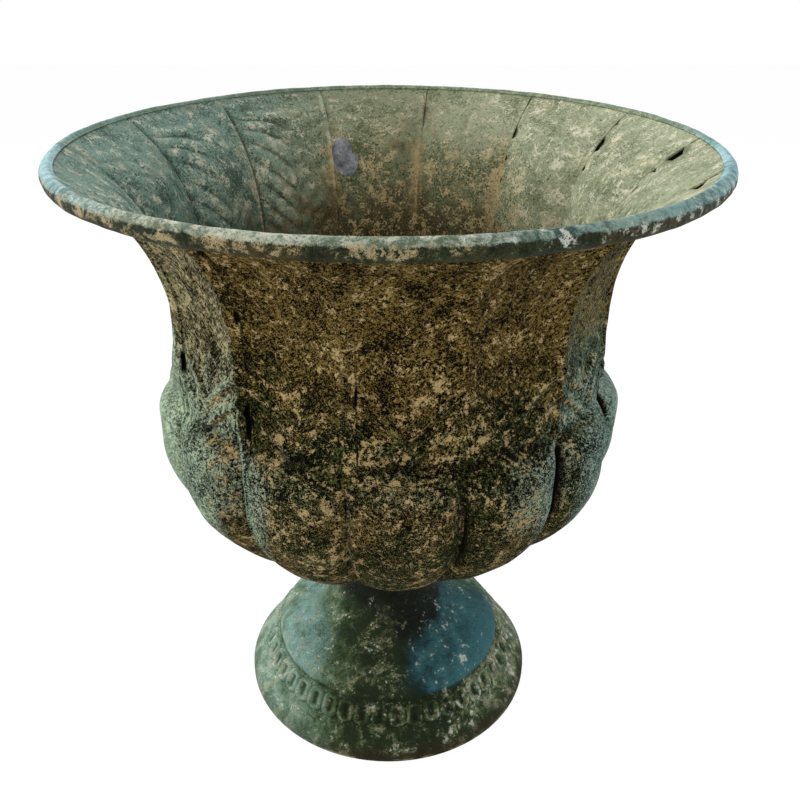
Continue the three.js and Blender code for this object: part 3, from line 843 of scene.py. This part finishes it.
def makePanel(number):
    deselectAll()
    bpy.ops.mesh.primitive_grid_add(x_subdivisions=panel["columns"], y_subdivisions=panel["rows"], size=2)
    thing = bpy.context.object
    thing.name = "pressedPanel%02d" % (number + 1)
    flat = perVertex(thing, "co")
    u = (flat[:, 0] + 1) / 2
    v = (1 - flat[:, 1]) / 2
    share = np.interp(u, *panel["spread"])
    crowding = panel["rowCrowding"]
    depth = seamLength * v * (1 - crowding + crowding * v)
    local = np.where(share > 0.5, share - 1, share)
    across = np.abs(2 * local)
    turned = math.degrees(urn["firstSeam"] + (number + 0.5) * pitch)
    fresh = float(hump(turned, *panel["freshest"]))
    ribStrength = (0.12 + 0.88 * fresh) * (0.35 + 0.65 * fade(local, "oneSide"))
    angle = urn["firstSeam"] + (number + share + 0.5) * pitch
    aside = np.abs((np.degrees(angle) + 180) % 360 - 180)
    crisp = 1 - fade(aside, "crispTurn")
    out, crest, hollow, rib, furrow = panelRelief(across, depth, ribStrength, crisp)
    ownLift, lift = seamLift(number, depth), seamLift(number + 1, depth)
    shut = 1 - smooth(ownLift / 0.3)
    inFlare = (1 - fade(depth, "flareOut")) * fade(depth, "flareIn") * (0.1 + 0.9 * fresh)
    hem = hump(share, *panel["hemLine"]) * inFlare
    closed = hump(share, *panel["ownEdge"]) * shut
    out = out - panel["hem"] * hem + 0.6 * panel["lapGap"] * (1 - fresh) * closed
    crevice = hump(share, *panel["creviceLine"]) * inFlare
    belowBead = fade(depth, "beadOut")
    wornEdge = 0.45 * hump(share, *panel["farEdge"]) * belowBead
    joggle = np.clip((share - 0.5 + panel["joggleShare"]) / panel["joggleShare"], 0, 1)
    out = out + (urn["sheet"] + panel["lapGap"]) * joggle
    spring = fade(share, "springSide") * fade(depth, "springIn")
    pocket = 1 - 0.8 * fade(share, "pocketSide") * (1 - fade(depth, "pocketOut"))
    out = out + lift * spring * pocket
    under = np.maximum(smooth(ownLift / 0.8) * fade(share, "ownSide"),
                       smooth(lift / 0.8) * fade(share, "farSide"))
    sunk, split = splitApart(number, share, depth)
    out = out - sunk
    # Marks for the paint. Some carry painted light and shade: lighter on the raised ribs and the hem,
    # painted shade in the rib grooves and the crevice, painted light on the sheet's edge where it sits in
    # shade, and painted shadow in sprung laps, under lap edges, in splits and in cracks.
    marks = {
        "rise": np.clip(0.8 * furrow + 0.9 * hem, 0, 1),
        "dip": np.clip(0.8 * rib + crevice, 0, 1),
        "brink": fade(share, "brinkSide") * shut,
        "seamSide": np.maximum(hump(share, -0.5, 0.10), hump(share, 0.5, 0.05)),
        "crest": np.maximum(crest, wornEdge),
        "hollow": hollow,
        "gap": smooth(lift / 0.6) * fade(share, "gapSide"),
        "lapShadow": 0.8 * hump(share, *panel["lapShadow"]) * belowBead,
        "slitShadow": np.maximum(under * fade(depth, "slitIn"), split),
    }
    for name, values in marks.items():
        setAttribute(thing, name, values)
    (radius, height), (runX, runY) = alongSeam(depth)
    wave = dents(aroundAxis(radius, angle, height), *panel["dents"]) * fade(depth, "dentIn")
    out = out + panel["dent"] * wave * smooth((padDepth - depth) / panel["dentOut"])
    push = hump(np.degrees(angle), *panel["pushTurn"]) * hump(depth, *panel["pushDepth"])
    out = out - panel["push"] * push
    points = aroundAxis(radius - runY * out, angle, height + runX * out)
    bendUp(points)
    moveTo(thing, points * mm)
    around = (number + share) * pitch * urn["belly"][0]
    leafward = 1 - fade(depth, "barbsOut")
    barbs = chevron(across, depth) * leafward + depth * (1 - leafward)
    setSheetMap(thing, np.stack([around, barbs], 1) * mm)
    face = thing.data.polygons[len(thing.data.polygons) // 2]
    if face.normal.dot(Vector((face.center.x, face.center.y, 0))) < 0:
        thing.data.flip_normals()
    setAttribute(thing, "aside", perVertex(thing, "normal")[:, 0])
    sheetFaces = len(thing.data.polygons)
    wall = thing.modifiers.new("wall", "SOLIDIFY")
    wall.thickness = urn["sheet"] * mm
    wall.offset = -1
    wall.use_even_offset = False
    wall.material_offset = 1
    putOn(thing, paint["outside"], paint["inside"])
    applyAll(thing)
    for face in thing.data.polygons[2 * sheetFaces:]:
        if face.normal.x * -face.center.y + face.normal.y * face.center.x < 0:
            face.material_index = 1
    shadeSmooth(thing, panel["smoothAngle"])
    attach(thing, "root")
    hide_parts("panel_%02d" % (number + 1))


for panelNumber in range(urn["panels"]):
    makePanel(panelNumber)
print("stage: panels made")


# Turned pieces: an outline drawn point by point in edit mode, then spun about the upright axis
def turnedPiece(name, outline, steps):
    deselectAll()
    bpy.ops.mesh.primitive_plane_add(size=0.001)
    thing = bpy.context.object
    thing.name = name
    bpy.ops.object.mode_set(mode="EDIT")
    bpy.ops.mesh.select_all(action="SELECT")
    bpy.ops.mesh.merge(type="CENTER")
    corners = [Vector((radius * mm, 0, height * mm)) for radius, height in outline]
    bpy.ops.transform.translate(value=corners[0])
    for before, after in zip(corners, corners[1:]):
        bpy.ops.mesh.extrude_region_move(TRANSFORM_OT_translate={"value": after - before})
    bpy.ops.mesh.select_all(action="SELECT")
    bpy.ops.mesh.spin(steps=steps, angle=2 * math.pi, center=(0, 0, 0), axis=(0, 0, 1))
    bpy.ops.mesh.select_all(action="SELECT")
    bpy.ops.mesh.remove_doubles(threshold=1e-6)
    bpy.ops.mesh.normals_make_consistent(inside=False)
    bpy.ops.object.mode_set(mode="OBJECT")
    return thing


bead = {
    "radius": 3.9,
    "wall": 0.9,
    "clearance": 0.5,
    "grip": 0.6,
    "lipTurn": 0.8,
    "outerSteps": 34,
    "innerSteps": 18,
    "steps": 336,
    "dents": ((0.35, 30, 7.0), (0.22, 6, 9.0)),
    "inwardFrom": (-0.1, 0.5),
    "smoothAngle": 60,
}


def makeRim():
    inset = bead["radius"] - bead["wall"] - bead["clearance"] - urn["sheet"]
    outerLip = inset - urn["seamGap"] - urn["sheet"] - bead["clearance"]
    run = np.array([-math.sin(urn["flareAngle"]), -math.cos(urn["flareAngle"])])
    outward = np.array([-run[1], run[0]])
    centre = np.array(urn["rim"]) + outward * inset + run * bead["grip"]

    def arc(radius, count, press):
        turns = np.linspace(0, 2 * math.pi - math.acos(outerLip / radius), count)[:, None]
        pressed = press * (1 - smooth(turns / bead["lipTurn"])) * outward
        return centre - radius * (np.cos(turns) * outward + np.sin(turns) * run) + pressed

    outer = arc(bead["radius"], bead["outerSteps"], bead["clearance"] + 0.5 * bead["wall"])
    inner = arc(bead["radius"] - bead["wall"], bead["innerSteps"], bead["clearance"] - 0.05)[::-1]
    outline = [*outer, *inner, outer[0]]
    thing = turnedPiece("rolledRim", outline, bead["steps"])
    points = perVertex(thing, "co") / mm
    ring = np.hypot(points[:, 0], points[:, 1])
    wobble = dents(points, *bead["dents"])
    away = np.stack([points[:, 0] / ring * (ring - centre[0]), points[:, 1] / ring * (ring - centre[0]),
                     points[:, 2] - centre[1]], 1)
    length = np.linalg.norm(away, axis=1)[:, None]
    outerSkin = ramp(length[:, 0], bead["radius"] - bead["wall"], bead["wall"])
    points = points + away / length * (wobble * outerSkin)[:, None]
    bendUp(points)
    moveTo(thing, points * mm)
    normals = perVertex(thing, "normal")
    inward = -(normals[:, 0] * points[:, 0] + normals[:, 1] * points[:, 1]) / ring
    setAttribute(thing, "up", normals[:, 2])
    setAttribute(thing, "inward", ramp(inward, *bead["inwardFrom"]))
    putOn(thing, paint["rim"])
    shadeSmooth(thing, bead["smoothAngle"])
    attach(thing, "root")
    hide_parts("rim_hoop")


makeRim()
print("stage: rim made")


foot = {
    "wall": 1.2,
    "cap": (25, 92.05),
    "neck": (17.5, 73),
    "dome": (52, 33.5),
    "domeRing": 50,
    "domeReach": 20,
    "domeLift": 6,
    "shoulder": (58.7, 25.6),
    "groove": (58.6, 23.9),
    "bandTop": (60.2, 22.9),
    "bandFoot": (67.5, 11.5),
    "brimHandle": (74, 4.5),
    "edge": (75, 3),
    "eggs": 46,
    "eggHeight": 1.3,
    "eggPlace": 0.41,
    "eggReach": 0.41,
    "stepsPerEgg": 10,
    "eggTall": 0.42,
    "loopLine": (0.68, 0.27),
    "yolkLine": (0, 0.34),
    "eggGap": (0.95, 0.15),
    "eggReachOut": 1.2,
    "bandEnd": 1.05,
    "bandIn": (-0.02, 0.06),
    "bandOut": (1, -0.08),
    "bandSkin": 3,
    "bore": 4.3,
    "dents": ((0.35, 22, 12.0), (0.12, 6, 14.0)),
    "dentIn": (0, 6),
    "dentOut": (90, -10),
    "smoothAngle": 50,
}


def offsetLine(points, distance):
    points = np.asarray(points, float)
    run = np.diff(points, axis=0)
    run /= np.hypot(*run.T)[:, None]
    arriving = np.concatenate([run[:1], run])
    leaving = np.concatenate([run, run[-1:]])
    side = np.stack([arriving[:, 1] + leaving[:, 1], -arriving[:, 0] - leaving[:, 0]], 1)
    side *= (2 * distance / (side ** 2).sum(1))[:, None]
    return points + side


def makePedestal():
    capRadius, capTop = foot["cap"]
    neck, dome, shoulder = foot["neck"], foot["dome"], foot["shoulder"]
    middle = (neck[0], (neck[1] + dome[1]) / 2)
    reach = (dome[0] - foot["domeReach"], dome[1] + foot["domeLift"])
    throat = bezier(12, (capRadius, capTop), (neck[0], capTop), neck)
    bell = bezier(26, neck, middle, reach, dome)
    bulge = bezier(10, dome, (shoulder[0], (dome[1] + shoulder[1]) / 2), shoulder)
    groove = bezier(8, shoulder, foot["groove"], foot["bandTop"])
    band = np.linspace(foot["bandTop"], foot["bandFoot"], 24)
    brim = bezier(12, foot["bandFoot"], foot["brimHandle"], foot["edge"])
    outside = np.concatenate([[(foot["bore"], capTop)], throat, bell[1:], bulge[1:], groove[1:],
                              band[1:], brim[1:], [(foot["edge"][0], 0)]])
    inside = offsetLine(outside, foot["wall"])
    inside[0] = (foot["bore"], capTop - foot["wall"])
    inside[-1] = (foot["edge"][0] - foot["wall"], 0)
    outline = [*outside, *inside[::-1], outside[0]]
    thing = turnedPiece("pedestalFoot", outline, foot["eggs"] * foot["stepsPerEgg"])
    points = perVertex(thing, "co") / mm
    ring = np.hypot(points[:, 0], points[:, 1])
    angle = np.arctan2(points[:, 1], points[:, 0])
    top, low = np.array(foot["bandTop"], float), np.array(foot["bandFoot"], float)
    length = math.hypot(*(low - top))
    run = (low - top) / length
    normal = np.array([-run[1], run[0]])
    flat = np.stack([ring, points[:, 2]], 1) - top
    along = flat @ run / length
    proud = flat @ normal
    onBand = ramp(along, *foot["bandIn"]) * ramp(along, *foot["bandOut"])
    onBand = onBand * (np.abs(proud) < foot["bandSkin"])
    phase = (angle / (2 * math.pi) * foot["eggs"] + 0.5) % 1 - 0.5
    aloft = np.abs(along - foot["eggPlace"]) / foot["eggReach"]
    oval = np.hypot(phase / 0.5, np.clip(aloft - foot["eggTall"], 0, None) / (1 - foot["eggTall"]))
    loop = hump(oval, *foot["loopLine"])
    relief = foot["eggHeight"] * loop * onBand
    wave = dents(points, *foot["dents"])
    settled = ramp(points[:, 2], *foot["dentIn"]) * ramp(points[:, 2], *foot["dentOut"])
    push = relief + wave * settled * (along < foot["bandEnd"])
    points[:, 0] += points[:, 0] / ring * normal[0] * push
    points[:, 1] += points[:, 1] / ring * normal[0] * push
    points[:, 2] += normal[1] * push
    moveTo(thing, points * mm)
    betweenEggs = ramp(oval, *foot["eggGap"]) * (oval < foot["eggReachOut"])
    # Painted shade goes in the eggs' hollows and in the groove.
    eggBandShade = onBand * (0.9 * hump(oval, *foot["yolkLine"]) + 0.8 * betweenEggs)
    grooveShade = hump(points[:, 2], foot["groove"][1], 1.0) * (ring > foot["domeRing"]) * 0.7
    setAttribute(thing, "crest", np.clip(loop * onBand, 0, 1))
    setAttribute(thing, "hollow", np.clip(eggBandShade + grooveShade, 0, 1))
    putOn(thing, paint["foot"])
    shadeSmooth(thing, foot["smoothAngle"])
    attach(thing, "root")
    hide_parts("pedestal")


makePedestal()
print("stage: pedestal made")


# Discs, bolt and washers, turned with their edges eased
stack = {
    "bore": 4.3,
    "discRadius": 31,
    "washerRadius": 9,
    "headRadius": 7.5,
    "headHeight": 4.5,
    "boltRadius": 4,
    "slotWidth": 1.6,
    "slotDepth": 1.8,
    "cutterLength": 24,
    "cutterRise": 2,
    "crownShare": 0.9,
    "crownEdge": 1.2,
    "ease": 0.35,
    "boltEase": 0.5,
    "ringSteps": 72,
    "boltSteps": 48,
}


def edgedRing(name, inner, outer, bottom, top):
    ease = stack["ease"]
    outline = [
        (inner, bottom), (outer - ease, bottom), (outer, bottom + ease), (outer, top - ease),
        (outer - ease, top), (inner, top), (inner, bottom),
    ]
    return turnedPiece(name, outline, stack["ringSteps"])


def settle(thing, node, slotName, material, angle=30):
    putOn(thing, material)
    shadeSmooth(thing, angle)
    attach(thing, "root")
    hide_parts(node)


def makeStack():
    for name, node, radius, slotName, material in (
        ("clampingDisc", "clamp_disc", stack["discRadius"], "panel_paint", paint["inside"]),
        ("supportingDisc", "support_disc", stack["discRadius"], "panel_paint", paint["outside"]),
        ("boltWasher", "bolt_washer", stack["washerRadius"], "fastener_steel", paint["steel"]),
        ("nutWasher", "nut_washer", stack["washerRadius"], "fastener_steel", paint["steel"]),
    ):
        low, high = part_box(node)
        piece = edgedRing(name, stack["bore"], radius, low[2] / mm, high[2] / mm)
        settle(piece, node, slotName, material)
    low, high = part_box("bolt")
    bottom, top = low[2] / mm, high[2] / mm
    head, shank, ease = stack["headRadius"], stack["boltRadius"], stack["boltEase"]
    under = top - stack["headHeight"]
    crown = bezier(9, (0, top), (head * stack["crownShare"], top), (head, under + stack["crownEdge"]))
    outline = [*crown, (head, under), (shank, under), (shank, bottom + ease), (shank - ease, bottom),
               (0, bottom)]
    bolt = turnedPiece("bowlBolt", outline, stack["boltSteps"])
    rise = stack["cutterRise"]
    middle = (top - stack["slotDepth"] / 2 + rise / 2) * mm
    bpy.ops.mesh.primitive_cube_add(size=1, location=(0, 0, middle))
    cutter = bpy.context.object
    cutter.scale = (stack["cutterLength"] * mm, stack["slotWidth"] * mm, (stack["slotDepth"] + rise) * mm)
    cut = bolt.modifiers.new("slot", "BOOLEAN")
    cut.operation = "DIFFERENCE"
    cut.object = cutter
    applyAll(bolt)
    bpy.data.objects.remove(cutter, do_unlink=True)
    settle(bolt, "bolt", "fastener_steel", paint["steel"])
    putOn(bpy.data.objects["nut"], paint["steel"])


makeStack()
print("stage: bolt, washers and discs made")


# A lump of solder on the inside of the back, flattened against the wall
tack = {
    "angle": math.radians(193),
    "depth": 38,
    "width": 14,
    "length": 17,
    "height": 10,
    "tilt": math.radians(26),
    "dents": ((0.05, 7, 3.0), (0.03, 2.5, 6.0)),
    "ribStrength": 0.3,
    "clearance": 1.9,
    "smoothAngle": 70,
}


def makeTack():
    deselectAll()
    bpy.ops.mesh.primitive_uv_sphere_add(segments=48, ring_count=32, radius=1)
    thing = bpy.context.object
    thing.name = "solderLump"
    points = perVertex(thing, "co")
    points *= np.array([tack["width"], tack["height"], tack["length"]]) / 2
    points *= (1 + dents(points, *tack["dents"]))[:, None]
    (radius, height), _ = alongSeam(np.array([float(tack["depth"])]))
    turn = Matrix.Rotation(tack["angle"], 3, "Z") @ Matrix.Rotation(tack["tilt"], 3, "X")
    points = points @ np.array(turn).T + aroundAxis(radius, tack["angle"], height)
    order = np.argsort(seamPoints[:, 1])
    wall = np.interp(points[:, 2], seamPoints[order, 1], seamPoints[order, 0])
    angle = np.arctan2(points[:, 0], -points[:, 1])
    share = ((angle - urn["firstSeam"]) / pitch) % 1 - 0.5
    depth = np.interp(points[:, 2], seamPoints[order, 1], seamRun[order])
    out = panelRelief(np.abs(2 * share), depth, tack["ribStrength"])[0]
    limit = wall + out - tack["clearance"] * urn["sheet"]
    ring = np.hypot(points[:, 0], points[:, 1])
    squeeze = np.minimum(ring, limit) / ring
    points[:, 0] *= squeeze
    points[:, 1] *= squeeze
    bendUp(points)
    moveTo(thing, points * mm)
    settle(thing, "solder_tack", "solder", paint["solder"], tack["smoothAngle"])


makeTack()
print("stage: solder lump made")


# Floor, lamps and camera
stage = {
    "floorSize": 6.0,
    "floorColour": (0.80, 0.80, 0.79),
    "floorGap": 0.0003,
    "floorGlow": 1.045,
    "glowShare": 0.92,
    "lamps": [
        # name, place, aim, size, watts, colour
        ("backSoftbox", (-0.45, 0.85, 1.05), (0, 0, 0.20), 0.9, 14.0, (0.97, 0.99, 1.0)),
        ("leftSoftbox", (-1.05, 0.10, 0.55), (0, 0, 0.16), 0.6, 7.0, (0.90, 0.97, 1.0)),
        ("rightSoftbox", (1.05, 0.30, 0.45), (0, 0, 0.16), 0.6, 4.0, (0.85, 0.95, 1.0)),
        ("frontFill", (-0.15, -1.2, 0.75), (0, 0, 0.16), 0.9, 7.0, (1.0, 0.98, 0.93)),
    ],
    "skyColour": (0.94, 0.97, 1),
    "skyStrength": 0.40,
}


def onlySeen(shade, plain, bright):
    path = shade.node("ShaderNodeLightPath", {}, {}).socket.node
    rays = ("Is Camera Ray", "Is Glossy Ray", "Is Transmission Ray")
    fromCamera, glossy, through = (Wire(shade, path.outputs[kind]) for kind in rays)
    seen = shade.math("MAXIMUM", shade.math("MAXIMUM", fromCamera, glossy), through)
    return shade.node("ShaderNodeMixShader", {}, {0: seen, 1: plain, 2: bright})


def makeFloor():
    deselectAll()
    bpy.ops.mesh.primitive_plane_add(size=stage["floorSize"], location=(0, 0, -stage["floorGap"]))
    floor = bpy.context.object
    floor.name = "paleFloor"
    shade = newMaterial("paleFloor")
    plain = shade.node("ShaderNodeBsdfDiffuse", {}, {"Color": stage["floorColour"]})
    white = shade.node("ShaderNodeEmission", {}, {"Color": (1, 1, 1), "Strength": stage["floorGlow"]})
    bright = shade.node("ShaderNodeMixShader", {}, {0: stage["glowShare"], 1: plain, 2: white})
    putOn(floor, shade.show(onlySeen(shade, plain, bright)))


def makeWorld():
    world = bpy.data.worlds.new("plainWhite")
    bpy.context.scene.world = world
    shade = Shade(world)
    sky = {"Color": stage["skyColour"], "Strength": stage["skyStrength"]}
    soft = shade.node("ShaderNodeBackground", {}, sky)
    white = shade.node("ShaderNodeBackground", {}, {"Color": (1, 1, 1), "Strength": 1})
    shade.show(onlySeen(shade, soft, white), "ShaderNodeOutputWorld")


def makeLamps():
    for name, place, aim, size, watts, colour in stage["lamps"]:
        light = bpy.data.lights.new(name, "AREA")
        light.shape = "DISK"
        light.size = size
        light.energy = watts
        light.color = colour
        lamp = bpy.data.objects.new(name, light)
        bpy.context.collection.objects.link(lamp)
        lamp.location = place
        lamp.rotation_euler = (Vector(aim) - Vector(place)).to_track_quat("-Z", "Y").to_euler()


camera = {
    "place": (0, -0.3585, 0.3472),
    "down": math.radians(27.58),
    "focalPixels": 843.9,
    "framePixels": 800,
    "axisPixel": 388.3,
    "sensor": 36,
    "nearest": 0.01,
}


def makeCamera():
    lens = bpy.data.cameras.new("photoView")
    lens.sensor_width = camera["sensor"]
    lens.lens = camera["focalPixels"] / camera["framePixels"] * lens.sensor_width
    lens.shift_x = (camera["framePixels"] / 2 - camera["axisPixel"]) / camera["framePixels"]
    lens.clip_start = camera["nearest"]
    holder = bpy.data.objects.new("photoView", lens)
    bpy.context.collection.objects.link(holder)
    holder.location = camera["place"]
    holder.rotation_euler = (math.pi / 2 - camera["down"], 0, 0)
    bpy.context.scene.camera = holder


makeFloor()
makeWorld()
makeLamps()
makeCamera()
bpy.context.scene.view_settings.view_transform = "Standard"
print("stage: floor, lamps and camera ready")
